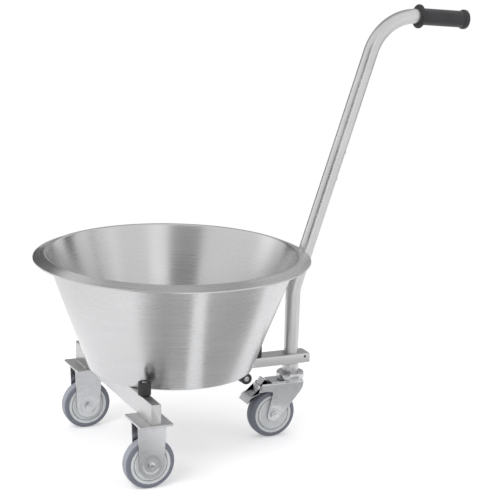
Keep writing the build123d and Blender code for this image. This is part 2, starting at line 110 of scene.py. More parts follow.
class TrolleyColours(bpy.types.PropertyGroup):
    steel: colour("Steel", "Colour of the stainless steel", (0.60, 0.60, 0.605))
    plating: colour("Plating", "Colour of the plated castor parts", (0.60, 0.605, 0.62))
    tyre: colour("Tyre", "Light grey of the fixed wheels' treads", (0.40, 0.41, 0.47))
    # Painted shade: this slate stands in for the shade on the tyres' shoulders, which turn away from the light. The
    # swivel tyre takes it all over, as its own darker rubber and painted shade from under the bar in one.
    painted_shade_slate: colour("Shoulder", "Slate grey of the tyres' shoulders", (0.17, 0.18, 0.215))
    wheel: colour("Wheel", "Light grey of the wheel centre", (0.66, 0.68, 0.69))
    grip: colour("Grip", "Black of the moulded grip", (0.014, 0.014, 0.016))
    rubber: colour("Rubber", "Black of the rubber buffers", (0.016, 0.016, 0.017))
    floor: colour("Floor", "Pale studio floor", (0.86, 0.86, 0.87))


# Outlines, as arrays of points in a plane


def rounded(points, radii, steps=8, closed=True):
    """Outline with arcs at its corners: each corner gives way to an arc that starts r tan(turn/2) before it."""
    points = np.asarray(points, float)
    if np.isscalar(radii):
        radii = [radii] * len(points)
    parts = []
    for place, (corner, radius) in enumerate(zip(points, radii)):
        is_end = not closed and place in (0, len(points) - 1)
        if is_end or radius == 0:
            parts.append(corner[None])
            continue
        before = corner - points[place - 1]
        after = points[(place + 1) % len(points)] - corner
        before /= np.linalg.norm(before)
        after /= np.linalg.norm(after)
        turn = math.atan2(before[0] * after[1] - before[1] * after[0], before @ after)
        start = corner - before * radius * math.tan(abs(turn) / 2)
        side = math.copysign(1.0, turn) * np.array([-before[1], before[0]])
        centre = start + side * radius
        first = math.atan2(*(start - centre)[::-1])
        angles = first + np.linspace(0, turn, steps + 1)
        parts.append(centre + radius * np.stack([np.cos(angles), np.sin(angles)], 1))
    return np.concatenate(parts)


def arc(centre, radius, start, end, steps):
    """Points centre + radius (cos a, sin a), a running from start to end in degrees."""
    angles = np.radians(np.linspace(start, end, steps + 1))
    return np.asarray(centre, float) + radius * np.stack([np.cos(angles), np.sin(angles)], 1)


def box_outline(low_a, high_a, low_b, high_b):
    """Four corners of a rectangle, anticlockwise."""
    return [(low_a, low_b), (high_a, low_b), (high_a, high_b), (low_a, high_b)]


def run_normals(line, closed):
    """Unit normals of a line of points, the mean of its two runs' left-hand normals, stretched at corners."""
    ahead = np.roll(line, -1, 0) - line
    back = line - np.roll(line, 1, 0)
    if not closed:
        ahead[-1] = back[-1]
        back[0] = ahead[0]
    ahead /= np.maximum(np.linalg.norm(ahead, axis=1, keepdims=True), 1e-9)
    back /= np.maximum(np.linalg.norm(back, axis=1, keepdims=True), 1e-9)
    mean = ahead + back
    mean /= np.maximum(np.linalg.norm(mean, axis=1, keepdims=True), 1e-9)
    stretch = 1 / np.maximum((mean * ahead).sum(1, keepdims=True), 0.35)
    return np.stack([-mean[:, 1], mean[:, 0]], 1) * stretch


def shifted(line, amount, closed=True):
    """A line of points moved sideways by amount along its left-hand normals."""
    line = np.asarray(line, float)
    return line + run_normals(line, closed) * amount


# Surfaces, each a grid of points with rows and columns, in millimetres


def patch(grid, wrap_rows=False, wrap_columns=False, cap_rows=False, keep=None):
    """Grid of points as points, faces and surface coordinates that run in metres along rows and columns."""
    grid = np.asarray(grid, float)
    rows, columns = grid.shape[:2]
    number = np.arange(rows * columns).reshape(rows, columns)
    row, column = np.meshgrid(
        np.arange(rows if wrap_rows else rows - 1), np.arange(columns if wrap_columns else columns - 1), indexing="ij"
    )
    if keep is not None:
        row, column = row[keep], column[keep]
    next_row, next_column = (row + 1) % rows, (column + 1) % columns
    quads = np.stack(
        [number[row, column], number[next_row, column], number[next_row, next_column], number[row, next_column]], -1
    ).reshape(-1, 4)
    along = np.linalg.norm(np.roll(grid, -1, 0) - grid, axis=2).mean(1)
    across = np.linalg.norm(np.roll(grid, -1, 1) - grid, axis=2).mean(0)
    along = np.concatenate([[0], np.cumsum(along)]) / 1000
    across = np.concatenate([[0], np.cumsum(across)]) / 1000
    corner_row = np.stack([row, row + 1, row + 1, row], -1).reshape(-1)
    corner_column = np.stack([column, column, column + 1, column + 1], -1).reshape(-1)
    places = np.stack([along[corner_row], across[corner_column]], 1)
    faces = quads.tolist()
    if cap_rows:
        faces += [number[0].tolist(), number[-1][::-1].tolist()]
        flat = grid[[0, -1]].reshape(-1, 3)
        places = np.concatenate([places, flat[:, :2] / 1000 + flat[:, 2:] / 1000])
    return grid.reshape(-1, 3), faces, places


def on_axes(flat, height, origin, first, second, third):
    """Points origin + a first + b second + h third."""
    flat = np.asarray(flat, float)
    height = np.broadcast_to(np.asarray(height, float), flat.shape[:-1])[..., None]
    axes = [np.asarray(axis, float) for axis in (first, second, third)]
    return np.asarray(origin, float) + flat[..., :1] * axes[0] + flat[..., 1:] * axes[1] + height * axes[2]


def side_axes(axis):
    """Two unit directions square to an axis."""
    axis = np.asarray(axis, float) / np.linalg.norm(axis)
    helper = np.array(X_AXIS) if abs(axis[0]) < 0.9 else np.array(Z_AXIS)
    first = np.cross(helper, axis)
    first /= np.linalg.norm(first)
    return np.cross(axis, first), first, axis


def lathe(profile, origin=(0, 0, 0), axis=Z_AXIS, steps=96, closed=True):
    """Profile (radius, height) turned about an axis: origin + r (cos a e1 + sin a e2) + h e3."""
    profile = np.asarray(profile, float)
    first, second, third = side_axes(axis)
    angle = np.linspace(0, 2 * math.pi, steps, endpoint=False)
    ring = np.stack([np.cos(angle), np.sin(angle)], 1)
    flat = profile[:, None, :1] * ring[None]
    height = np.repeat(profile[:, 1:], steps, 1)
    return patch(on_axes(flat, height, origin, first, second, third), wrap_rows=closed, wrap_columns=True)


def plate(outline, low, high, edge, origin=(0, 0, 0), axes=(X_AXIS, Y_AXIS, Z_AXIS)):
    """Closed outline given a thickness, its edges rounded by pulling the outline in as it nears each face."""
    outline = np.asarray(outline, float)
    turn = np.linspace(0, math.pi / 2, 4)
    pull = edge * (1 - np.sin(turn))
    rise = edge * (1 - np.cos(turn))
    insets = np.concatenate([pull, pull[::-1]])
    heights = np.concatenate([low + rise, high - rise[::-1]])
    rings = [on_axes(shifted(outline, inset), height, origin, *axes) for inset, height in zip(insets, heights)]
    return patch(np.stack(rings), wrap_columns=True, cap_rows=True)


def ribbon(path, low, high, lift=None, axes=(X_AXIS, Z_AXIS, Y_AXIS), steps=8):
    """Open path in a plane carried sideways from low to high, lifted along its normals where asked."""
    path = np.asarray(path, float)
    if lift is not None:
        path = path + run_normals(path, False) * lift[:, None]
    across = np.linspace(low, high, steps + 1)
    flat = np.repeat(path[:, None], steps + 1, 1)
    return patch(on_axes(flat, across[None, :].repeat(len(path), 0), (0, 0, 0), *axes))


def swept_tube(path, radius, closed=True, inner=None):
    """Circle carried along a path in the X and Z plane: p + r (cos a n + sin a Y), with a bore if asked."""
    path = np.asarray(path, float)
    normal = run_normals(path, False)
    normal /= np.linalg.norm(normal, axis=1, keepdims=True)
    centre = np.stack([path[:, 0], np.zeros(len(path)), path[:, 1]], 1)
    outward = np.stack([normal[:, 0], np.zeros(len(path)), normal[:, 1]], 1)
    tangent = np.stack([normal[:, 1], np.zeros(len(path)), -normal[:, 0]], 1)
    angle = np.linspace(0, 2 * math.pi, 64, endpoint=False)[None, :, None]

    def ring(size, slide=0.0):
        middle = centre + tangent * slide
        return middle[:, None] + size * (np.cos(angle) * outward[:, None] + np.sin(angle) * np.array(Y_AXIS))

    edge = 0.35
    outer = ring(radius)
    ends = [ring(radius - edge)[:1], ring(radius - edge * 0.3, edge * 0.3)[:1]]
    outer = np.concatenate([ends[0], ends[1] * [1, 1, 1], outer[1:-1], ring(radius - edge * 0.3, -edge * 0.3)[-1:],
                            ring(radius - edge)[-1:]])
    if inner is None:
        return patch(outer, wrap_columns=True, cap_rows=True)
    return patch(np.concatenate([outer, ring(inner)[::-1]]), wrap_rows=True, wrap_columns=True)


def bead(path, radius, closed=False, ripple=0.14, pitch=2.6):
    """Weld bead along a level path: a circle whose radius swells and shrinks with the distance along it."""
    path = np.asarray(path, float)
    step = np.linalg.norm(np.diff(path, axis=0), axis=1)
    travel = np.concatenate([[0], np.cumsum(step)])
    count = max(int(travel[-1] / (pitch / 5)), 8)
    at = np.linspace(0, travel[-1], count, endpoint=not closed)
    line = np.stack([np.interp(at, travel, path[:, k]) for k in range(3)], 1)
    ahead = np.roll(line, -1, 0) - line
    if not closed:
        ahead[-1] = ahead[-2]
    side = np.cross(ahead, Z_AXIS)
    side /= np.linalg.norm(side, axis=1, keepdims=True)
    size = radius * (1 + ripple * np.sin(2 * math.pi * at / pitch))
    if not closed:
        size = size * np.sqrt(np.clip(np.minimum(at, at[-1] - at) / (2 * radius) + 0.02, 0, 1))
    angle = np.linspace(0, 2 * math.pi, 12, endpoint=False)[None, :, None]
    around = np.cos(angle) * side[:, None] + np.sin(angle) * np.array(Z_AXIS)
    return patch(line[:, None] + size[:, None, None] * around, wrap_rows=closed, wrap_columns=True, cap_rows=not closed)


def hexagon(flats, low, high, origin, axis, bore=0.0, chamfer_low=False):
    """Chamfered hexagon: radius (flats/2)/cos(a mod 60), its corners sloping down to a circle at the face."""
    steps = 72
    first, second, third = side_axes(axis)
    angle = np.linspace(0, 2 * math.pi, steps, endpoint=False)
    ring = np.stack([np.cos(angle), np.sin(angle)], 1)
    reach = flats / 2 / np.cos((angle + math.pi / 6) % (math.pi / 3) - math.pi / 6)
    fall = (reach - flats / 2) * 0.6 + 0.15
    face = np.full(steps, flats / 2 - 0.25)
    rows = [(face, np.full(steps, high)), (reach, high - fall)]
    rows += [(reach, low + fall), (face, np.full(steps, low))] if chamfer_low else [(reach, np.full(steps, low))]
    if bore:
        rows += [(np.full(steps, bore), np.full(steps, low)), (np.full(steps, bore), np.full(steps, high))]
    grid = [on_axes(ring * size[:, None], height, origin, first, second, third) for size, height in rows]
    return patch(np.stack(grid), wrap_rows=bool(bore), wrap_columns=True, cap_rows=not bore)


def joined(patches):
    """Several patches as one set of points, faces and surface coordinates."""
    starts = np.cumsum([0] + [len(points) for points, faces, places in patches])
    points = np.concatenate([points for points, faces, places in patches])
    faces = [[corner + start for corner in face] for start, (p, fs, q) in zip(starts.tolist(), patches) for face in fs]
    return points, faces, np.concatenate([places for points, faces, places in patches])


def piece(name, patches, body, finish, replaces=(), sheet=0.0, sharp=38.0, edge=0.0):
    """Puts patches into one mesh that rides on a body, with its doubles merged and its faces outward."""
    points, faces, places = joined(patches)
    mesh = bpy.data.meshes.new(name)
    mesh.from_pydata((points / 1000).tolist(), [], faces)
    layer = mesh.uv_layers.new(name="Surface")
    layer.data.foreach_set("uv", np.ascontiguousarray(places, dtype=np.float32).ravel())
    work = bmesh.new()
    work.from_mesh(mesh)
    bmesh.ops.remove_doubles(work, verts=work.verts, dist=2e-6)
    bmesh.ops.recalc_face_normals(work, faces=work.faces)
    work.to_mesh(mesh)
    work.free()
    mesh.shade_smooth()
    mesh.set_sharp_from_angle(angle=math.radians(sharp))
    made = bpy.data.objects.new(name, mesh)
    bpy.context.scene.collection.objects.link(made)
    mesh.materials.append(finish)
    if sheet:
        wall = made.modifiers.new("Sheet", "SOLIDIFY")
        wall.thickness = sheet / 1000
        wall.offset = 0.0
    if edge:
        soft = made.modifiers.new("Edge", "BEVEL")
        soft.width = edge / 1000
        soft.segments = 2
        soft.limit_method = "ANGLE"
        soft.angle_limit = math.radians(50)
        soft.harden_normals = True
    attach(made, body)
    if replaces:
        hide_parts(*replaces)
    return made


# Finishes


class Finish:
    """A material in the making: one main shader and the nodes that feed it."""

    def __init__(self, name, **sockets):
        self.material = bpy.data.materials.new(name)
        self.material.use_nodes = True
        self.tree = self.material.node_tree
        self.shader = self.tree.nodes["Principled BSDF"]
        for socket, value in sockets.items():
            self.shader.inputs[socket.replace("_", " ")].default_value = value

    def add(self, kind, **settings):
        """A node with its settings."""
        node = self.tree.nodes.new(kind)
        for setting, value in settings.items():
            setattr(node, setting, value)
        return node

    def join(self, source, target):
        """Links an output to an input."""
        self.tree.links.new(source, target)

    def places(self, kind, scale, shift=(0, 0, 0)):
        """Object or surface coordinates, shifted and scaled."""
        source = self.add("ShaderNodeTexCoord")
        mapping = self.add("ShaderNodeMapping")
        self.join(source.outputs[kind], mapping.inputs["Vector"])
        mapping.inputs["Scale"].default_value = scale
        mapping.inputs["Location"].default_value = shift
        return mapping.outputs["Vector"]

    def maths(self, kind, first, second=None):
        """A sum on one or two values."""
        node = self.add("ShaderNodeMath", operation=kind)
        for socket, value in zip(node.inputs, (first, second)):
            if isinstance(value, (int, float)):
                socket.default_value = value
            elif value is not None:
                self.join(value, socket)
        return node.outputs[0]

    def noise(self, vector, scale, detail=3.0, rough=0.55):
        """Noise between 0 and 1."""
        node = self.add("ShaderNodeTexNoise")
        node.inputs["Scale"].default_value = scale
        node.inputs["Detail"].default_value = detail
        node.inputs["Roughness"].default_value = rough
        self.join(vector, node.inputs["Vector"])
        return node.outputs["Fac"]

    def span(self, value, low, high, start=0.3, end=0.7):
        """Maps the stretch from start to end on to low to high."""
        node = self.add("ShaderNodeMapRange")
        self.join(value, node.inputs["Value"])
        for socket, amount in (("From Min", start), ("From Max", end), ("To Min", low), ("To Max", high)):
            node.inputs[socket].default_value = amount
        return node.outputs["Result"]

    def blend(self, factor, first, second):
        """Mixes two colours by a factor."""
        node = self.add("ShaderNodeMix", data_type="RGBA")
        self.join(factor, node.inputs["Factor"])
        for socket, value in (("A", first), ("B", second)):
            target = next(i for i in node.inputs if i.name == socket and i.type == "RGBA")
            if hasattr(value, "is_linked"):
                self.join(value, target)
            else:
                target.default_value = (*value, 1.0)
        return next(o for o in node.outputs if o.type == "RGBA")

    def bump(self, height, strength, distance, under=None):
        """Bumps the shader's normal by a height."""
        node = self.add("ShaderNodeBump")
        node.inputs["Strength"].default_value = strength
        node.inputs["Distance"].default_value = distance
        self.join(height, node.inputs["Height"])
        if under is not None:
            self.join(under, node.inputs["Normal"])
        self.join(node.outputs["Normal"], self.shader.inputs["Normal"])
        return node.outputs["Normal"]

    def stretch(self, amount):
        """Draws highlights out along the rows of the surface, square to brush lines that run round it."""
        self.shader.inputs["Anisotropic"].default_value = amount
        along = self.add("ShaderNodeTangent", direction_type="UV_MAP", uv_map="Surface")
        self.join(along.outputs["Tangent"], self.shader.inputs["Tangent"])

    def set(self, socket, value):
        """Links a value to one of the shader's inputs."""
        self.join(value, self.shader.inputs[socket])


def shade(tint, factor):
    """A colour made darker or lighter."""
    return tuple(min(channel * factor, 1.0) for channel in tint)


FINISHES = {}


def finish(name, make):
    """Each finish is made once and shared."""
    if name not in FINISHES:
        FINISHES[name] = make(name)
    return FINISHES[name]


def bowl_steel(name):
    """Drawn bowl: fine brush lines running round it, faint bands and smudges."""
    tint = tuple(bpy.context.scene.trolley_colours.steel)
    made = Finish(name, Metallic=1.0, Roughness=0.3)
    source = made.add("ShaderNodeTexCoord")
    split = made.add("ShaderNodeSeparateXYZ")
    made.join(source.outputs["Object"], split.inputs[0])
    x = made.maths("SUBTRACT", split.outputs["X"], BOWL_X / 1000)
    y = split.outputs["Y"]
    radius = made.maths("SQRT", made.maths("ADD", made.maths("MULTIPLY", x, x), made.maths("MULTIPLY", y, y)))
    run = made.maths("ADD", radius, split.outputs["Z"])
    lines = made.add("ShaderNodeCombineXYZ")
    made.join(made.maths("MULTIPLY", x, 4.0), lines.inputs["X"])
    made.join(made.maths("MULTIPLY", y, 4.0), lines.inputs["Y"])
    made.join(made.maths("MULTIPLY", run, 900.0), lines.inputs["Z"])
    grain = made.noise(lines.outputs[0], 1.0, 4.0, 0.65)
    smudge = made.noise(made.places("Object", (5, 5, 9)), 1.0, 3.0)
    made.set("Base Color", made.blend(made.span(grain, 0.0, 1.0), shade(tint, 0.93), shade(tint, 1.06)))
    made.set("Roughness", made.maths("ADD", made.span(grain, 0.20, 0.30), made.span(smudge, 0.0, 0.07)))
    made.bump(grain, 0.06, 0.0003)
    made.stretch(0.75)
    return made.material


def tube_steel(name):
    """Ground stainless tube: fine lines, with a soft change of gloss."""
    tint = tuple(bpy.context.scene.trolley_colours.steel)
    made = Finish(name, Metallic=1.0, Roughness=0.34)
    grain = made.noise(made.places("UV", (1600, 60, 1)), 1.0, 3.0, 0.6)
    smudge = made.noise(made.places("Object", (14, 14, 14)), 1.0, 3.0)
    made.set("Base Color", made.blend(made.span(smudge, 0.0, 1.0), shade(tint, 0.92), shade(tint, 1.05)))
    made.set("Roughness", made.maths("ADD", made.span(grain, 0.26, 0.36), made.span(smudge, 0.0, 0.08)))
    made.bump(grain, 0.08, 0.0003)
    return made.material


def pressed_steel(name):
    """Pressed sheet, lightly polished, with faint waves and rub marks."""
    tint = tuple(bpy.context.scene.trolley_colours.plating)
    made = Finish(name, Metallic=1.0, Roughness=0.3)
    wave = made.noise(made.places("Object", (60, 60, 60)), 1.0, 2.0)
    rub = made.noise(made.places("Object", (260, 260, 900)), 1.0, 4.0, 0.7)
    made.set("Base Color", made.blend(made.span(wave, 0.0, 1.0), shade(tint, 0.97), shade(tint, 1.03)))
    made.set("Roughness", made.maths("ADD", made.span(rub, 0.24, 0.31), made.span(wave, 0.0, 0.03)))
    made.bump(wave, 0.04, 0.0006, made.bump(rub, 0.04, 0.0002))
    return made.material


def bright_plating(name):
    """Plated small parts: bright, with a slight haze."""
    tint = tuple(bpy.context.scene.trolley_colours.plating)
    made = Finish(name, Metallic=1.0, Roughness=0.2)
    haze = made.noise(made.places("Object", (150, 150, 150)), 1.0, 3.0)
    made.set("Base Color", made.blend(made.span(haze, 0.0, 1.0), shade(tint, 0.85), shade(tint, 1.08)))
    made.set("Roughness", made.span(haze, 0.16, 0.3))
    made.bump(haze, 0.05, 0.0003)
    return made.material


def weld_metal(name):
    """Weld bead: duller, faintly straw coloured."""
    made = Finish(name, Metallic=1.0, Roughness=0.42)
    patchy = made.noise(made.places("Object", (220, 220, 220)), 1.0, 3.0)
    made.set("Base Color", made.blend(made.span(patchy, 0.0, 1.0), (0.42, 0.40, 0.37), (0.60, 0.59, 0.57)))
    made.bump(patchy, 0.2, 0.0004)
    return made.material


def moulded_grip(name):
    """Black moulded grip with a fine matt grain, polished a little by hands."""
    tint = tuple(bpy.context.scene.trolley_colours.grip)
    made = Finish(name, Roughness=0.5)
    grain = made.noise(made.places("Object", (900, 900, 900)), 1.0, 2.0)
    wear = made.noise(made.places("Object", (30, 30, 30)), 1.0, 3.0)
    made.set("Base Color", made.blend(made.span(wear, 0.0, 1.0), tint, shade(tint, 1.9)))
    made.set("Roughness", made.maths("ADD", made.span(grain, 0.34, 0.42), made.span(wear, 0.0, 0.12)))
    made.bump(grain, 0.22, 0.0003)
    return made.material


def black_rubber(name):
    """Matt black rubber with a dusty bloom."""
    tint = tuple(bpy.context.scene.trolley_colours.rubber)
    made = Finish(name, Roughness=0.7)
    dust = made.noise(made.places("Object", (90, 90, 90)), 1.0, 4.0)
    made.set("Base Color", made.blend(made.span(dust, 0.0, 1.0), tint, shade(tint, 2.4)))
    made.set("Roughness", made.span(dust, 0.55, 0.75))
    made.bump(made.noise(made.places("Object", (1200, 1200, 1200)), 1.0, 2.0), 0.2, 0.0002)
    return made.material


def tyre_rubber(name, middle, tread):
    """Grey rubber with painted shade on the shoulders, in slate where they turn away from the light: the tread's colour
    ends at a distance from the wheel's middle plane.
    """
    shoulder_shade = tuple(bpy.context.scene.trolley_colours.painted_shade_slate)
    made = Finish(name, Roughness=0.55)
    scuff = made.noise(made.places("Object", (70, 70, 70)), 1.0, 5.0, 0.65)
    speck = made.noise(made.places("Object", (1500, 1500, 1500)), 1.0, 2.0)
    split = made.add("ShaderNodeSeparateXYZ")
    made.join(made.add("ShaderNodeTexCoord").outputs["Object"], split.inputs[0])
    away = made.maths("ABSOLUTE", made.maths("SUBTRACT", split.outputs["Y"], middle / 1000))
    # Painted shade: beyond the tread the colour turns to slate, for the shade on the shoulders.
    plain = made.blend(made.span(away, 0.0, 1.0, 0.0085, 0.0105), tread, shoulder_shade)
    worn = made.blend(made.span(away, 0.0, 1.0, 0.0085, 0.0105), shade(tread, 0.9), shade(shoulder_shade, 1.15))
    made.set("Base Color", made.blend(made.span(scuff, 0.0, 1.0), plain, worn))
    made.set("Roughness", made.span(scuff, 0.42, 0.62))
    made.bump(speck, 0.15, 0.0002)
    return made.material


def light_plastic(name):
    """Light grey moulded plastic of the wheel centre."""
    tint = tuple(bpy.context.scene.trolley_colours.wheel)
    made = Finish(name, Roughness=0.45)
    flow = made.noise(made.places("Object", (45, 45, 45)), 1.0, 3.0)
    grain = made.noise(made.places("Object", (1300, 1300, 1300)), 1.0, 2.0)
    made.set("Base Color", made.blend(made.span(flow, 0.0, 1.0), shade(tint, 0.94), shade(tint, 1.05)))
    made.set("Roughness", made.span(flow, 0.36, 0.5))
    made.bump(grain, 0.12, 0.0002)
    return made.material


def vent_painted_shade(name):
    """Painted shade: near-black standing in for the shadow inside the vent hole, mottled a little."""
    made = Finish(name, Roughness=0.8)
    shade_mottle = made.noise(made.places("Object", (600, 600, 600)), 1.0, 3.0)
    made.set("Base Color", made.blend(made.span(shade_mottle, 0.0, 1.0), (0.01, 0.01, 0.01), (0.03, 0.03, 0.03)))
    return made.material


def mm(value):
    """Metres to millimetres."""
    return value * 1000


# Bowl


def bowl_profile(sizes):
    """Closed section of the bowl: the sheet's middle line moved half a sheet each way, round a bead at the rim."""
    half = mm(sizes.sheet) / 2
    bead_radius = 1.7
    top, rim = mm(sizes.height), mm(sizes.rim_radius)
    line = rounded(
        [(0, half), (mm(sizes.base_radius), half), (mm(sizes.mouth_radius), top),
         (rim - bead_radius, top - mm(sizes.rim_drop))],
        [0, 6.0, 4.0, 0], steps=14, closed=False,
    )
    extra = np.linspace(0, 1, 24)[1:-1, None]
    floor = line[:1] * (1 - extra) + line[1:2] * extra
    wall_start, wall_end = line[15], line[16]
    wall = wall_start * (1 - extra) + wall_end * extra
    line = np.concatenate([line[:1], floor, line[1:16], wall, line[16:]])
    upper = shifted(line, half, closed=False)
    lower = shifted(line, -half, closed=False)
    upper[0, 0] = lower[0, 0] = 0
    centre = line[-1] + np.array([0, half - bead_radius])
    roll = arc(centre, bead_radius, 78, -190, 22)
    return np.concatenate([upper[:-1], roll, lower[:-2][::-1]])


class TROLLEY_OT_bowl(bpy.types.Operator):
    """Makes the conical bowl with its rolled rim"""

    bl_idname = "trolley.bowl"
    bl_label = "Bowl"

    def execute(self, context):
        profile = bowl_profile(context.scene.trolley_bowl)
        shell = lathe(profile, (BOWL_X, 0, FRAME_TOP), steps=256, closed=False)
        piece("bowl_shell", [shell], "bowl", finish("bowl_steel", bowl_steel), ["bowl"], sharp=60)
        return {"FINISHED"}


# Handle

LEAN = math.radians(17.85)
DROOP = math.radians(4.3)
POST_BEND_Z = 311.0
SEAM_Z = 567.0
TOP_BEND_Z = 868.5
GRIP_REACH = 195.6
SEAM = np.array([POST_X + (SEAM_Z - POST_BEND_Z) * math.tan(LEAN), SEAM_Z])
TOP_BEND = np.array([POST_X + (TOP_BEND_Z - POST_BEND_Z) * math.tan(LEAN), TOP_BEND_Z])
GRIP_DIRECTION = np.array([math.cos(DROOP), -math.sin(DROOP)])


class TROLLEY_OT_handle(bpy.types.Operator):
    """Makes the two handle tubes, their seam, the joint screws and the weld at the foot"""

    bl_idname = "trolley.handle"
    bl_label = "Handle"

    def execute(self, context):
        radius = mm(context.scene.trolley_handle.tube_radius)
        steel = finish("tube_steel", tube_steel)
        lower = rounded([(POST_X, FRAME_TOP), (POST_X, POST_BEND_Z), SEAM], [0, 90, 0], 20, False)
        end = TOP_BEND + GRIP_DIRECTION * (GRIP_REACH - 5)
        upper = rounded([SEAM, TOP_BEND, end], [0, 100, 0], 44, False)
        piece("lower_tube", [swept_tube(lower, radius, inner=radius - 2)], "frame", steel,
              ["handle_lower_tube"], sharp=50)
        piece("upper_tube", [swept_tube(upper, radius, inner=radius - 2)], "frame", steel,
              ["handle_upper_tube"], sharp=50)
        lean = np.array([math.sin(LEAN), 0, math.cos(LEAN)])
        out = np.array([math.cos(LEAN), 0, -math.sin(LEAN)])
        seam = np.array([SEAM[0], 0, SEAM[1]])
        head = rounded([(0, 17.6), (2.6, 17.6), (4.2, 16.0), (4.2, 14.7), (2.5, 14.6), (2.5, 9), (0, 9)],
                       [0, 1.2, 0.8, 0, 0, 0.3, 0], 5, False)
        heads = [lathe(head, seam + lean * side * 28, out, 40, closed=False) for side in (-1, 1)]
        piece("joint_screws", heads, "frame", finish("bright_plating", bright_plating),
              ["handle_screws"])
        ring = arc((POST_X, 0), radius + 0.4, 0, 360, 96)[:-1]
        foot = np.column_stack([ring, np.full(len(ring), FRAME_TOP + 0.5)])
        piece("handle_weld", [bead(foot, 1.5, closed=True)], "frame", finish("weld_metal", weld_metal))
        return {"FINISHED"}


class TROLLEY_OT_grip(bpy.types.Operator):
    """Makes the moulded grip with its guard, collar rings and rounded end"""

    bl_idname = "trolley.grip"
    bl_label = "Grip"

    def execute(self, context):
        sizes = context.scene.trolley_handle
        tube, barrel = mm(sizes.tube_radius), mm(sizes.grip_radius)
        end, guard, bulge = mm(sizes.grip_length), mm(sizes.guard_radius), mm(sizes.bulge_radius)
        outline = rounded(
            [(tube + 0.1, 0), (guard, 0), (guard, 6.5), (barrel + 0.9, 6.5), (barrel + 0.9, 8.2), (barrel + 0.3, 8.6),
             (barrel + 0.3, 9.2), (barrel + 0.9, 9.6), (barrel + 0.9, 11), (barrel, 11.6), (barrel, end - 13),
             (barrel + 1.0, end - 11.4), (bulge, end - 10), (bulge, end), (0, end), (0, end - 5),
             (tube + 0.1, end - 5)],
            [0.6, 2.6, 2.6, 0.4, 0.2, 0.15, 0.15, 0.2, 0.3, 0.3, 1.2, 0.8, 2.0, 4.5, 0, 0, 0], 8,
        )
        origin = TOP_BEND + GRIP_DIRECTION * (GRIP_REACH - end)
        axis = (GRIP_DIRECTION[0], 0, GRIP_DIRECTION[1])
        grip = lathe(outline, (origin[0], 0, origin[1]), axis, 128)
        piece("grip_moulding", [grip], "frame", finish("moulded_grip", moulded_grip), ["handle_grip"])
        return {"FINISHED"}


# Frame tubes and their welds


def tube_outline(width, depth):
    """Rounded outline of a rectangular tube."""
    return rounded(box_outline(-width / 2, width / 2, -depth / 2, depth / 2), 2.5, 6)


class TROLLEY_OT_frame(bpy.types.Operator):
    """Makes the crossbar, the spine, the castor sleeve, the stop bracket and the painted shade of the vent hole"""

    bl_idname = "trolley.frame"
    bl_label = "Frame tubes"

    def execute(self, context):
        steel = finish("tube_steel", tube_steel)
        middle = (CROSSBAR_X, 0, FRAME_TOP - 20)
        crossbar = plate(tube_outline(20, 40), -218.5, 218.5, 0.7, middle, (X_AXIS, Z_AXIS, Y_AXIS))
        piece("crossbar", [crossbar], "frame", steel, ["crossbar_tube", "crossbar_end_caps"])
        spine = plate(tube_outline(40, 20), CROSSBAR_X + 10, SPINE_END, 0.7, (0, 0, FRAME_TOP - 10),
                      (Y_AXIS, Z_AXIS, X_AXIS))
        piece("spine", [spine], "frame", steel, ["spine_tube", "spine_end_cap"])
        pipe = rounded([(14.25, 136), (16.85, 136), (16.85, 156), (14.25, 156)], 0.4, 3)
        piece("sleeve", [lathe(pipe, (POST_X, 0, 0))], "frame", steel, ["castor_sleeve"])
        low = -18
        tab = np.concatenate([arc((0, low), 13, 180, 360, 24), [(13, 0), (-13, 0)]])
        stop_x = BOWL_X + 156
        bracket = plate(tab, -10, -6, 0.5, (stop_x, 0, 156), (X_AXIS, Z_AXIS, Y_AXIS))
        piece("stop_tab", [bracket], "frame", steel, ["stop_bracket"])
        # Painted shade: a thin black disc on the spine's side stands in for the shadow in the vent hole, which is not
        # cut.
        vent = [(0, 20.12), (2.3, 20.12), (2.7, 20.0), (2.7, 19.5), (0, 19.5)]
        piece("vent_shade_disc", [lathe(vent, (SPINE_END - 11.5, 0, 170), (0, -1, 0), 32, closed=False)], "frame",
              finish("vent_painted_shade", vent_painted_shade))
        return {"FINISHED"}


class TROLLEY_OT_welds(bpy.types.Operator):
    """Makes the weld beads of the frame"""

    bl_idname = "trolley.welds"
    bl_label = "Weld beads"

    def execute(self, context):
        metal = finish("weld_metal", weld_metal)
        ring = arc((POST_X, 0), 17.2, 0, 360, 96)[:-1]
        sleeve_top = bead(np.column_stack([ring, np.full(len(ring), 155.6)]), 1.4, closed=True)
        x = CROSSBAR_X + 10.2
        spine = [bead([(x, -17, FRAME_TOP - 0.4), (x, 17, FRAME_TOP - 0.4)], 1.1),
                 bead([(x, -18, FRAME_TOP - 20.2), (x, 18, FRAME_TOP - 20.2)], 1.5)]
        seats = []
        for y in (-TRACK, TRACK):
            for side in (-1, 1):
                across = CROSSBAR_X + side * 10.3
                seats.append(bead([(across, y - 34, 136.2), (across, y + 34, 136.2)], 1.5))
        stop_x = BOWL_X + 156
        tab = bead([(stop_x - 12, -10.3, 155.7), (stop_x + 12, -10.3, 155.7)], 1.2)
        piece("frame_welds", [sleeve_top, tab] + spine + seats, "frame", metal)
        return {"FINISHED"}


# Buffers


def buffer_profile(radius, height):
    """Section of a rubber buffer with a sunk screw seat."""
    return rounded([(3.1, 0), (radius, 0), (radius, height), (6.2, height), (6.2, height - 4), (3.1, height - 4)],
                   [0, 1.5, 2.0, 0.8, 0.3, 0], 6)


def screw_profile(height, tail):
    """Half section of a cheese-head screw."""
    return rounded([(0, height - 0.6), (5.8, height - 0.6), (5.8, height - 4), (3, height - 4), (3, tail), (0, tail)],
                   [0, 1.3, 0.2, 0.2, 0.5, 0], 5, False)


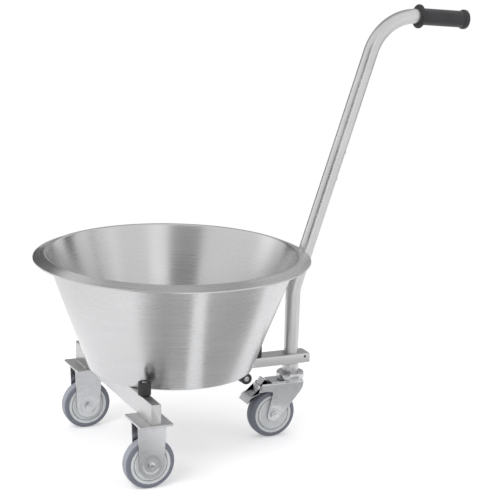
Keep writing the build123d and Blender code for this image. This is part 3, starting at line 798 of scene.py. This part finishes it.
class TROLLEY_OT_buffers(bpy.types.Operator):
    """Makes the rubber buffers with their screws and nuts"""

    bl_idname = "trolley.buffers"
    bl_label = "Rubber buffers"

    def execute(self, context):
        rubber = finish("black_rubber", black_rubber)
        plating = finish("bright_plating", bright_plating)
        low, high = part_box("rear_buffer")
        rear_x = mm(low.x + high.x) / 2
        places = {"front_near_buffer": (CROSSBAR_X, -156), "front_far_buffer": (CROSSBAR_X, 156),
                  "rear_buffer": (rear_x, 0)}
        screws = []
        nuts = []
        for node, (x, y) in places.items():
            body = lathe(buffer_profile(12.5, 26), (x, y, FRAME_TOP))
            piece(f"{node}_rubber", [body], "frame", rubber, [node])
            screws.append(lathe(screw_profile(26, -8.5), (x, y, FRAME_TOP), steps=48, closed=False))
            nuts.append(hexagon(10, -7, -2, (x, y, FRAME_TOP), Z_AXIS, 3.1, True))
        piece("seat_screws", screws, "frame", plating, ["buffer_screws"])
        piece("seat_nuts", nuts, "frame", plating, ["buffer_nuts"])
        face = (BOWL_X + 156, -10, 138)
        out = (0, -1, 0)
        piece("stop_rubber", [lathe(buffer_profile(11.5, 20), face, out)], "frame", rubber,
              ["stop_buffer"])
        piece("stop_fixing", [lathe(screw_profile(20, -10.5), face, out, 48, closed=False)], "frame",
              plating, ["stop_screw"])
        piece("stop_hexagon", [hexagon(10, -9, -4, face, out, 3.1, True)], "frame", plating,
              ["stop_nut"])
        return {"FINISHED"}


# Wheels

WHEELS = {"near": ("near_wheel", "frame", CROSSBAR_X, -TRACK), "far": ("far_wheel", "frame", CROSSBAR_X, TRACK),
          "swivel": ("swivel_wheel", "fork", REAR_WHEEL_X, 0.0)}


class TROLLEY_OT_wheels(bpy.types.Operator):
    """Makes each wheel's tyre, moulded centre and side discs"""

    bl_idname = "trolley.wheels"
    bl_label = "Wheels"

    def execute(self, context):
        sizes = context.scene.trolley_castor
        radius, half = mm(sizes.wheel_radius), mm(sizes.tyre_width) / 2
        tyre = rounded(
            [(radius - 10, -half), (radius - 7.2, -half), (radius - 6.8, -half + 0.5), (radius, -half + 0.5),
             (radius, -0.5), (radius, 0.5), (radius, half - 0.5), (radius - 6.8, half - 0.5), (radius - 7.2, half),
             (radius - 10, half)],
            [0.3, 0.2, 0.2, 6.4, 0.2, 0.2, 6.4, 0.2, 0.2, 0.3], 10,
        )
        core = rounded(
            [(40, -half), (40, half), (34, half), (34, 3), (13, 3), (13, half + 1.3), (6.55, half + 1.3),
             (6.55, -half - 1.3), (13, -half - 1.3), (13, -3), (34, -3), (34, -half)],
            [0.2, 0.2, 0.8, 0.8, 0.8, 0.8, 0.3, 0.3, 0.8, 0.8, 0.8, 0.8], 4,
        )
        disc = rounded([(13.5, half - 1.6), (32.8, half - 1.6), (32.8, half), (29.5, half), (28.7, half - 0.35),
                        (16.0, half - 0.35), (15.2, half), (13.5, half)],
                       [0.1, 0.1, 0.6, 0.2, 0.2, 0.2, 0.2, 0.4], 5)
        angle = 360 / sizes.spokes
        for name, (body, carrier, x, y) in WHEELS.items():
            place = (x, y, AXLE_Z)
            spokes = []
            for turn in range(sizes.spokes):
                a = math.radians(turn * angle)
                outward = (math.cos(a), 0, -math.sin(a))
                square = (math.sin(a), 0, math.cos(a))
                spokes.append(plate(box_outline(-1.5, 1.5, -half + 1.6, half - 1.6), 11.5, 35.5, 0.3, place,
                                    (square, Y_AXIS, outward)))
            colours = context.scene.trolley_colours
            # The swivel tyre is slate all over: its own darker rubber and painted shade from under the bar in one.
            tread = tuple(colours.painted_shade_slate if name == "swivel" else colours.tyre)
            rubber = tyre_rubber(f"{name}_tyre_rubber", y, tread)
            piece(f"{name}_tread", [lathe(tyre, place, Y_AXIS, 144)], body, rubber, [f"{name}_tyre"],
                  sharp=30)
            piece(f"{name}_centre", [lathe(core, place, Y_AXIS, 120)] + spokes, body,
                  finish("light_plastic", light_plastic), [f"{name}_wheel_core"])
            discs = [lathe(disc, place, Y_AXIS, 96), lathe(disc * [1, -1], place, Y_AXIS, 96)]
            piece(f"{name}_side_discs", discs, body, finish("light_plastic", light_plastic),
                  [f"{name}_thread_guards"])
            plating = finish("bright_plating", bright_plating)
            shank = rounded([(0, -17.3), (4, -17.3), (4, 26.3), (0, 26.3)], [0, 0, 0.8, 0], 4, False)
            bolt = [hexagon(13, 17.3, 22.6, place, (0, -1, 0)), lathe(shank, place, Y_AXIS, 32, closed=False)]
            piece(f"{name}_axle_screw", bolt, carrier, plating, [f"{name}_axle_bolt"])
            piece(f"{name}_axle_hexagon", [hexagon(13, 17.3, 23.8, place, Y_AXIS, 4.1, True)], carrier,
                  plating, [f"{name}_axle_nut"])
        return {"FINISHED"}


# Forks


def leg_path(half, foot, top, bend, steps):
    """Middle line of a U of sheet seen from the front: up one leg, over the top and down the other."""
    path = rounded([(-half, foot), (-half, top), (half, top), (half, foot)], [0, bend, bend, 0], 8, False)
    travel = np.concatenate([[0], np.cumsum(np.linalg.norm(np.diff(path, axis=0), axis=1))])
    even = np.linspace(0, travel[-1], steps)
    at = np.unique(np.concatenate([even, travel]))
    return np.stack([np.interp(at, travel, path[:, k]) for k in range(2)], 1)


def dished(grid, x, z, radius, depth, soft):
    """Presses the legs inwards round the axle: depth falls off smoothly at the dish's edge."""
    away = np.hypot(grid[..., 0] - x, grid[..., 2] - z)
    share = np.clip((radius + soft / 2 - away) / soft, 0, 1)
    share = share * share * (3 - 2 * share)
    grid[..., 1] -= np.sign(grid[..., 1]) * depth * share
    return grid


class TROLLEY_OT_fixed_castors(bpy.types.Operator):
    """Makes the plates and the straight forks of the two fixed castors"""

    bl_idname = "trolley.fixed_castors"
    bl_label = "Fixed castors"

    def execute(self, context):
        pressed = finish("pressed_steel", pressed_steel)
        top = 82 - 1.25
        path = leg_path(17.05, -25, top, 2.25, 90)
        z = path[:, 1]
        half = np.where(z >= 0, 25 + 4 * z / 82, np.sqrt(np.maximum(625 - z * z, 0)))
        across = np.linspace(-1, 1, 49)
        for name, y in (("near", -TRACK), ("far", TRACK)):
            grid = np.stack([half[:, None] * across, np.repeat(path[:, :1], 49, 1), np.repeat(z[:, None], 49, 1)], 2)
            grid = dished(grid, 0, 0, 17, 1.0, 2.4) + np.array([CROSSBAR_X, y, AXLE_Z])
            piece(f"{name}_fork_sheet", [patch(grid)], "frame", pressed, [f"{name}_fork"], sheet=2.5,
                  sharp=50, edge=0.5)
            corners = rounded(box_outline(-34, 34, -42.5, 42.5), 4, 8)
            flat = plate(corners, 132, 136, 0.7, (CROSSBAR_X, y, 0))
            piece(f"{name}_castor_plate", [flat], "frame", finish("tube_steel", tube_steel),
                  [f"{name}_plate"])
        return {"FINISHED"}


def raked_edges(z, top):
    """Front and back edge of the raked leg at a height above the axle."""
    slope = math.radians(48.6)
    foot = 14.0
    foot_back = np.array([foot * math.sin(slope), -foot * math.cos(slope)])
    back_line = foot_back[0] + (z - foot_back[1]) / math.tan(slope)
    circle = np.sqrt(np.maximum(foot * foot - z * z, 0))
    back = np.where(z > foot_back[1], np.minimum(back_line, 65.0), circle)
    near_corner = (back_line - 65.0) / 8
    soft = 65.0 - 4 * np.log1p(np.exp(np.clip(-near_corner * 2, -30, 30)))
    back = np.where((z > foot_back[1] + 20), np.minimum(soft, back), back)
    throat = top - 17.0
    leg_front = -14 + z / throat * 11
    front = np.where(z < 0, -circle, leg_front)
    step = np.clip((z - throat + 1.0) / 2.0, 0, 1)
    step = step * step * (3 - 2 * step)
    front = front * (1 - step) - 29.0 * step
    flare = np.clip((z - throat + 7) / 6, 0, 1)
    front = np.where(step == 0, front - 3.0 * flare**3, front)
    return front, back


class TROLLEY_OT_swivel_castor(bpy.types.Operator):
    """Makes the raked fork, the ball races, the kingpin and the castor bolt"""

    bl_idname = "trolley.swivel_castor"
    bl_label = "Swivel castor"

    def execute(self, context):
        pressed = finish("pressed_steel", pressed_steel)
        plating = finish("bright_plating", bright_plating)
        top = 68.0
        path = leg_path(17.05, -14, top - 1.25, 2.25, 150)
        z = path[:, 1]
        front, back = raked_edges(z, top)
        over = np.abs(path[:, 0]) < 15
        front = np.where(over, -29.0, front)
        share = np.unique(np.append(np.linspace(0, 1, 57), 39 / 94))
        x = front[:, None] + (back - front)[:, None] * share
        grid = np.stack([x, np.repeat(path[:, :1], len(share), 1), np.repeat(z[:, None], len(share), 1)], 2)
        middle = (grid[:-1, :-1] + grid[1:, 1:]) / 2
        keep = ~((np.abs(middle[..., 1]) < 15.6) & (middle[..., 2] > 60) & (middle[..., 0] < 10))
        grid = dished(grid, 0, 0, 17, 1.0, 2.4) + np.array([REAR_WHEEL_X, 0, AXLE_Z])
        piece("swivel_fork_sheet", [patch(grid, keep=keep)], "fork", pressed, ["swivel_fork"],
              sheet=2.5, sharp=50, edge=0.4)
        half, race = 19.3, 26.0
        join = math.degrees(math.asin(half / race))
        crown = np.concatenate([[(-50, half)], arc((0, 0), race, 180 - join, -180 + join, 72), [(-50, -half)]])[::-1]
        place = (POST_X, 0, 0)
        lip = rounded([(23.2, 118), (24.6, 118), (24.6, 126), (23.2, 126)], [0, 0, 0.6, 0.2], 4)
        piece("crown", [plate(crown, 118, 121, 0.6, place), lathe(lip, place)], "fork", pressed,
              ["crown_plate"])
        race_top = rounded([(9.05, 133.5), (26.5, 133.5), (26.5, 124.5), (28.5, 124.5), (28.5, 136), (9.05, 136)],
                           [0, 1.0, 0.3, 0.5, 4.0, 0], 8)
        piece("upper_race", [lathe(race_top, place)], "frame", plating, ["swivel_head"])
        pin = rounded([(6.1, 112.7), (13, 112.7), (13, 115.2), (9, 115.2), (9, 136), (6.1, 136)],
                      [0, 0.8, 0.8, 0.2, 0.4, 0], 4)
        piece("king_rivet", [lathe(pin, place, steps=64)], "frame", plating, ["kingpin"])
        shank = rounded([(0, 112.7), (6, 112.7), (6, 150), (0, 150)], [0, 0, 1.0, 0], 4, False)
        bolt = [hexagon(19, -112.7, -105.2, place, (0, 0, -1)), lathe(shank, place, steps=40, closed=False)]
        piece("castor_screw", bolt, "frame", plating, ["castor_bolt"])
        return {"FINISHED"}


# Brake

PIVOT = (REAR_WHEEL_X + 2, 0, 110.5)
PEDAL_AXES = (X_AXIS, Z_AXIS, Y_AXIS)


def tread(points, half, ribbed):
    """Bent strip whose upper face is ribbed: the lift along the path is a row of rounded ridges."""
    line = rounded(points, 2.5, 8, False)
    travel = np.concatenate([[0], np.cumsum(np.linalg.norm(np.diff(line, axis=0), axis=1))])
    at = np.unique(np.concatenate([np.linspace(0, travel[-1], 120), travel]))
    path = np.stack([np.interp(at, travel, line[:, k]) for k in range(2)], 1)
    inside = (at > ribbed[0]) & (at < ribbed[1])
    wave = np.maximum(np.sin(2 * math.pi * (at - ribbed[0]) / 4.0), 0) ** 0.7
    upper = path + run_normals(path, False) * (1.0 + 0.7 * wave * inside)[:, None]
    lower = path - run_normals(path, False)
    loop = np.concatenate([upper, lower[::-1]])
    across = np.array([-half, -half + 0.4, half - 0.4, half])
    pull = np.array([0.4, 0, 0, 0.4])
    rings = [on_axes(shifted(loop, -inset), y, PIVOT, *PEDAL_AXES) for y, inset in zip(across, pull)]
    return patch(np.stack(rings), wrap_columns=True, cap_rows=True)


class TROLLEY_OT_brake(bpy.types.Operator):
    """Makes the brake pedal with its ribbed treads, its pin and its shoe"""

    bl_idname = "trolley.brake"
    bl_label = "Brake"

    def execute(self, context):
        pressed = finish("pressed_steel", pressed_steel)
        outer = 14.8
        tip, crease, root, web_top = (-64.5, -30.0), (-57.5, -18.2), (-37.5, -11.3), (-34.0, 3.0)
        foot = tread([tip, crease, root], 21, (1.5, 32))
        web = tread([crease, root, web_top], 17.5, (0, 0))
        release = tread([root, web_top, (-30.5, 4.7), (-23.0, 16.7), (-15.2, 9.3)], 11, (17, 32))
        ear = arc((0, 0), 6.8, -90, 90, 16)
        arm = rounded(np.concatenate([ear, [web_top, root, (-20, -10.5)]]), [0] * len(ear) + [1, 1, 6], 4)
        middle = outer - 1
        arms = [plate(arm, side * middle - 1, side * middle + 1, 0.3, PIVOT, PEDAL_AXES) for side in (-1, 1)]
        piece("pedal", [foot, web, release] + arms, "brake", pressed, ["brake_pedal"], sharp=40)
        pin = rounded([(0, -17.5), (3, -17.5), (3, 17.5), (0, 17.5)], [0, 0.5, 0.5, 0], 4, False)
        piece("pedal_pin", [lathe(pin, PIVOT, Y_AXIS, 32, closed=False)], "fork",
              finish("bright_plating", bright_plating), ["brake_pin"])
        pad = np.concatenate([arc((0, 0), 59.5, 97, 122, 24), arc((0, 0), 55.5, 122, 97, 24)])
        shoe = plate(pad, -12.8, 12.8, 0.4, (REAR_WHEEL_X, 0, AXLE_Z), PEDAL_AXES)
        piece("brake_pad", [shoe], "brake", finish("black_rubber", black_rubber), ["brake_shoe"])
        return {"FINISHED"}


class TROLLEY_OT_hidden_parts(bpy.types.Operator):
    """Gives the frame's remaining nodes their finishes"""

    bl_idname = "trolley.hidden_parts"
    bl_label = "Inner parts"

    def execute(self, context):
        plain = {"handle_spigot": ("tube_steel", tube_steel)}
        for name in ("sleeve_plug", "swivel_balls", "near_axle_sleeve", "far_axle_sleeve", "swivel_axle_sleeve"):
            plain[name] = ("bright_plating", bright_plating)
        for node, (name, make) in plain.items():
            mesh = frame["nodes"][node].data
            mesh.materials.clear()
            mesh.materials.append(finish(name, make))
        return {"FINISHED"}


# Stage


def camera_matrix():
    """Camera place and turn that match the photograph's view."""
    azimuth, elevation, roll = (math.radians(angle) for angle in (-24.789, 13.792, -1.728))
    back = Vector((math.sin(azimuth) * math.cos(elevation), -math.cos(azimuth) * math.cos(elevation),
                   math.sin(elevation)))
    right = Vector((math.cos(azimuth), math.sin(azimuth), 0))
    up = back.cross(right)
    turned_right = right * math.cos(roll) - up * math.sin(roll)
    turned_up = right * math.sin(roll) + up * math.cos(roll)
    target = Vector((0.16780 + BOWL_X / 1000, 0, 0.40021))
    place = target + back * 3.40502
    matrix = Matrix((turned_right, turned_up, back)).transposed().to_4x4()
    matrix.translation = place
    return matrix


def area_light(name, place, target, width, depth, watts, tint=(1, 1, 1)):
    """Soft rectangular lamp aimed at a point."""
    data = bpy.data.lights.new(name, "AREA")
    data.shape = "RECTANGLE"
    data.size, data.size_y = width, depth
    data.energy = watts
    data.color = tint
    lamp = bpy.data.objects.new(name, data)
    bpy.context.scene.collection.objects.link(lamp)
    lamp.location = place
    lamp.rotation_euler = (Vector(target) - Vector(place)).to_track_quat("-Z", "Y").to_euler()
    lamp.visible_glossy = False
    return lamp


def card(name, place, target, width, depth, grey):
    """Studio card that only shows in reflections, facing a point."""
    half_w, half_d = width / 2, depth / 2
    mesh = bpy.data.meshes.new(name)
    corners = np.array([(-half_w, -half_d, 0), (half_w, -half_d, 0), (half_w, half_d, 0), (-half_w, half_d, 0)])
    turn = (Vector(target) - Vector(place)).to_track_quat("-Z", "Y").to_matrix()
    mesh.from_pydata([tuple(turn @ Vector(c) + Vector(place)) for c in corners.tolist()], [], [(0, 1, 2, 3)])
    made = bpy.data.objects.new(name, mesh)
    bpy.context.scene.collection.objects.link(made)
    material = bpy.data.materials.new(name)
    material.use_nodes = True
    shader = material.node_tree.nodes["Principled BSDF"]
    shader.inputs["Base Color"].default_value = (0, 0, 0, 1)
    shader.inputs["Specular IOR Level"].default_value = 0.0
    shader.inputs["Emission Color"].default_value = (grey, grey, grey, 1)
    shader.inputs["Emission Strength"].default_value = 1.0
    mesh.materials.append(material)
    made.visible_camera = made.visible_diffuse = made.visible_shadow = False
    made.visible_transmission = False
    return made


def floor_material(tint):
    """Pale floor. What the camera or a reflection sees of it glows up to white, except where a shadow falls."""
    made = Finish("studio_floor", Roughness=0.9)
    made.shader.inputs["Base Color"].default_value = (*tint, 1)
    made.shader.inputs["Specular IOR Level"].default_value = 0.0
    lift = made.add("ShaderNodeEmission")
    lift.inputs["Strength"].default_value = 0.34
    lifted = made.add("ShaderNodeAddShader")
    made.join(made.shader.outputs[0], lifted.inputs[0])
    made.join(lift.outputs[0], lifted.inputs[1])
    white = made.add("ShaderNodeEmission")
    white.inputs["Strength"].default_value = 1.0
    distance = made.add("ShaderNodeVectorMath", operation="LENGTH")
    made.join(made.add("ShaderNodeTexCoord").outputs["Object"], distance.inputs[0])
    seen_floor = made.add("ShaderNodeMixShader")
    made.join(made.span(distance.outputs["Value"], 0.0, 1.0, 0.65, 1.0), seen_floor.inputs[0])
    made.join(lifted.outputs[0], seen_floor.inputs[1])
    made.join(white.outputs[0], seen_floor.inputs[2])
    path = made.add("ShaderNodeLightPath")
    seen = made.maths("MAXIMUM", path.outputs["Is Camera Ray"], path.outputs["Is Glossy Ray"])
    mix = made.add("ShaderNodeMixShader")
    made.join(made.maths("MAXIMUM", seen, path.outputs["Is Transmission Ray"]), mix.inputs[0])
    made.join(made.shader.outputs[0], mix.inputs[1])
    made.join(seen_floor.outputs[0], mix.inputs[2])
    made.join(mix.outputs[0], made.tree.nodes["Material Output"].inputs["Surface"])
    return made.material


# Panels that stand round the trolley and only show in reflections: compass angle, angle wide and grey.
STANDING_CARDS = {
    "card_dark_front": (234, 34, 0.10),
    "card_bright_front": (263, 20, 1.5),
    "card_bright_side": (315, 10, 1.25),
    "card_dark_side": (10, 14, 0.15),
    "card_grey_back": (60, 48, 0.42),
    "card_dark_back": (98, 26, 0.12),
    "card_bright_back": (139, 20, 1.4),
}
CARD_DISTANCE = 1.9
CARD_HEIGHT = 1.7


def standing_cards():
    """Upright panels on a circle about the bowl, each facing it."""
    for name, (compass, wide, grey) in STANDING_CARDS.items():
        angle = math.radians(compass)
        place = (BOWL_X / 1000 + CARD_DISTANCE * math.cos(angle), CARD_DISTANCE * math.sin(angle), CARD_HEIGHT / 2)
        width = 2 * CARD_DISTANCE * math.tan(math.radians(wide / 2))
        card(name, place, (BOWL_X / 1000, 0, CARD_HEIGHT / 2), width, CARD_HEIGHT, grey)


def lying_cards():
    """Grey panels flat above the floor, which the bowl's outside mirrors, and one overhead for its rim."""
    x = BOWL_X / 1000
    card("card_floor_front", (x - 0.19, -0.46, 0.002), (x - 0.19, -0.46, 1), 0.34, 0.44, 0.52)
    card("card_floor_side", (x + 0.36, -0.40, 0.002), (x + 0.36, -0.40, 1), 0.56, 0.46, 0.52)
    card("card_overhead", (x + 0.43, 0.91, 1.9), (x, 0, 0.4), 1.5, 1.1, 0.42)


class TROLLEY_OT_stage(bpy.types.Operator):
    """Makes the floor, the studio light and the camera"""

    bl_idname = "trolley.stage"
    bl_label = "Stage"

    def execute(self, context):
        scene = context.scene
        scene.view_settings.view_transform = "Standard"
        mesh = bpy.data.meshes.new("studio_floor")
        mesh.from_pydata([(-30, -30, 0), (30, -30, 0), (30, 30, 0), (-30, 30, 0)], [], [(0, 1, 2, 3)])
        ground = bpy.data.objects.new("studio_floor", mesh)
        scene.collection.objects.link(ground)
        mesh.materials.append(floor_material(tuple(scene.trolley_colours.floor)))
        world = bpy.data.worlds.new("studio")
        scene.world = world
        world.use_nodes = True
        tree = world.node_tree
        plain = tree.nodes["Background"]
        plain.inputs["Color"].default_value = (1, 1, 1, 1)
        plain.inputs["Strength"].default_value = 0.55
        white = tree.nodes.new("ShaderNodeBackground")
        white.inputs["Strength"].default_value = 1.0
        white.inputs["Color"].default_value = (1, 1, 1, 1)
        path = tree.nodes.new("ShaderNodeLightPath")
        seen = tree.nodes.new("ShaderNodeMath")
        seen.operation = "MAXIMUM"
        also = tree.nodes.new("ShaderNodeMath")
        also.operation = "MAXIMUM"
        tree.links.new(path.outputs["Is Camera Ray"], seen.inputs[0])
        tree.links.new(path.outputs["Is Glossy Ray"], seen.inputs[1])
        tree.links.new(seen.outputs[0], also.inputs[0])
        tree.links.new(path.outputs["Is Transmission Ray"], also.inputs[1])
        mix = tree.nodes.new("ShaderNodeMixShader")
        tree.links.new(also.outputs[0], mix.inputs[0])
        tree.links.new(plain.outputs[0], mix.inputs[1])
        tree.links.new(white.outputs[0], mix.inputs[2])
        tree.links.new(mix.outputs[0], tree.nodes["World Output"].inputs["Surface"])
        standing_cards()
        lying_cards()
        area_light("key", (-2.2, -1.6, 2.6), (0, 0, 0.3), 1.8, 1.8, 55)
        area_light("top", (0.3, 0.4, 3.2), (0, 0, 0.3), 2.4, 2.4, 30)
        area_light("fill", (2.6, -2.0, 1.6), (0, 0, 0.4), 1.6, 1.6, 14)
        camera_data = bpy.data.cameras.new("camera")
        camera_data.sensor_width = 36.0
        camera_data.lens = 1694.02 / 500 * 36
        camera_data.clip_end = 100
        camera = bpy.data.objects.new("camera", camera_data)
        scene.collection.objects.link(camera)
        camera.matrix_world = camera_matrix()
        scene.camera = camera
        return {"FINISHED"}


OPERATORS = [
    TROLLEY_OT_bowl, TROLLEY_OT_handle, TROLLEY_OT_grip, TROLLEY_OT_frame, TROLLEY_OT_welds, TROLLEY_OT_buffers,
    TROLLEY_OT_wheels, TROLLEY_OT_fixed_castors, TROLLEY_OT_swivel_castor, TROLLEY_OT_brake,
    TROLLEY_OT_hidden_parts, TROLLEY_OT_stage,
]
GROUPS = {"trolley_bowl": TrolleyBowlSizes, "trolley_handle": TrolleyHandleSizes,
          "trolley_castor": TrolleyCastorSizes, "trolley_colours": TrolleyColours}


class TROLLEY_PT_panel(bpy.types.Panel):
    bl_label = "Bowl trolley"
    bl_idname = "TROLLEY_PT_panel"
    bl_space_type = "VIEW_3D"
    bl_region_type = "UI"
    bl_category = "Trolley"

    def draw(self, context):
        for operator in OPERATORS:
            self.layout.operator(operator.bl_idname)
        for group in GROUPS:
            settings = getattr(context.scene, group)
            for name in settings.__annotations__:
                self.layout.prop(settings, name)


def register():
    """Registers the settings, the operators and the panel."""
    for name, group in GROUPS.items():
        bpy.utils.register_class(group)
        setattr(bpy.types.Scene, name, bpy.props.PointerProperty(type=group))
    for operator in OPERATORS:
        bpy.utils.register_class(operator)
    bpy.utils.register_class(TROLLEY_PT_panel)


def unregister():
    """Takes them all away again."""
    bpy.utils.unregister_class(TROLLEY_PT_panel)
    for operator in reversed(OPERATORS):
        bpy.utils.unregister_class(operator)
    for name, group in GROUPS.items():
        delattr(bpy.types.Scene, name)
        bpy.utils.unregister_class(group)


def main():
    """Makes every piece in order."""
    register()
    bpy.ops.trolley.bowl()
    bpy.ops.trolley.handle()
    bpy.ops.trolley.grip()
    bpy.ops.trolley.frame()
    bpy.ops.trolley.welds()
    bpy.ops.trolley.buffers()
    bpy.ops.trolley.wheels()
    bpy.ops.trolley.fixed_castors()
    bpy.ops.trolley.swivel_castor()
    bpy.ops.trolley.brake()
    bpy.ops.trolley.hidden_parts()
    bpy.ops.trolley.stage()


if __name__ == "__main__":
    main()
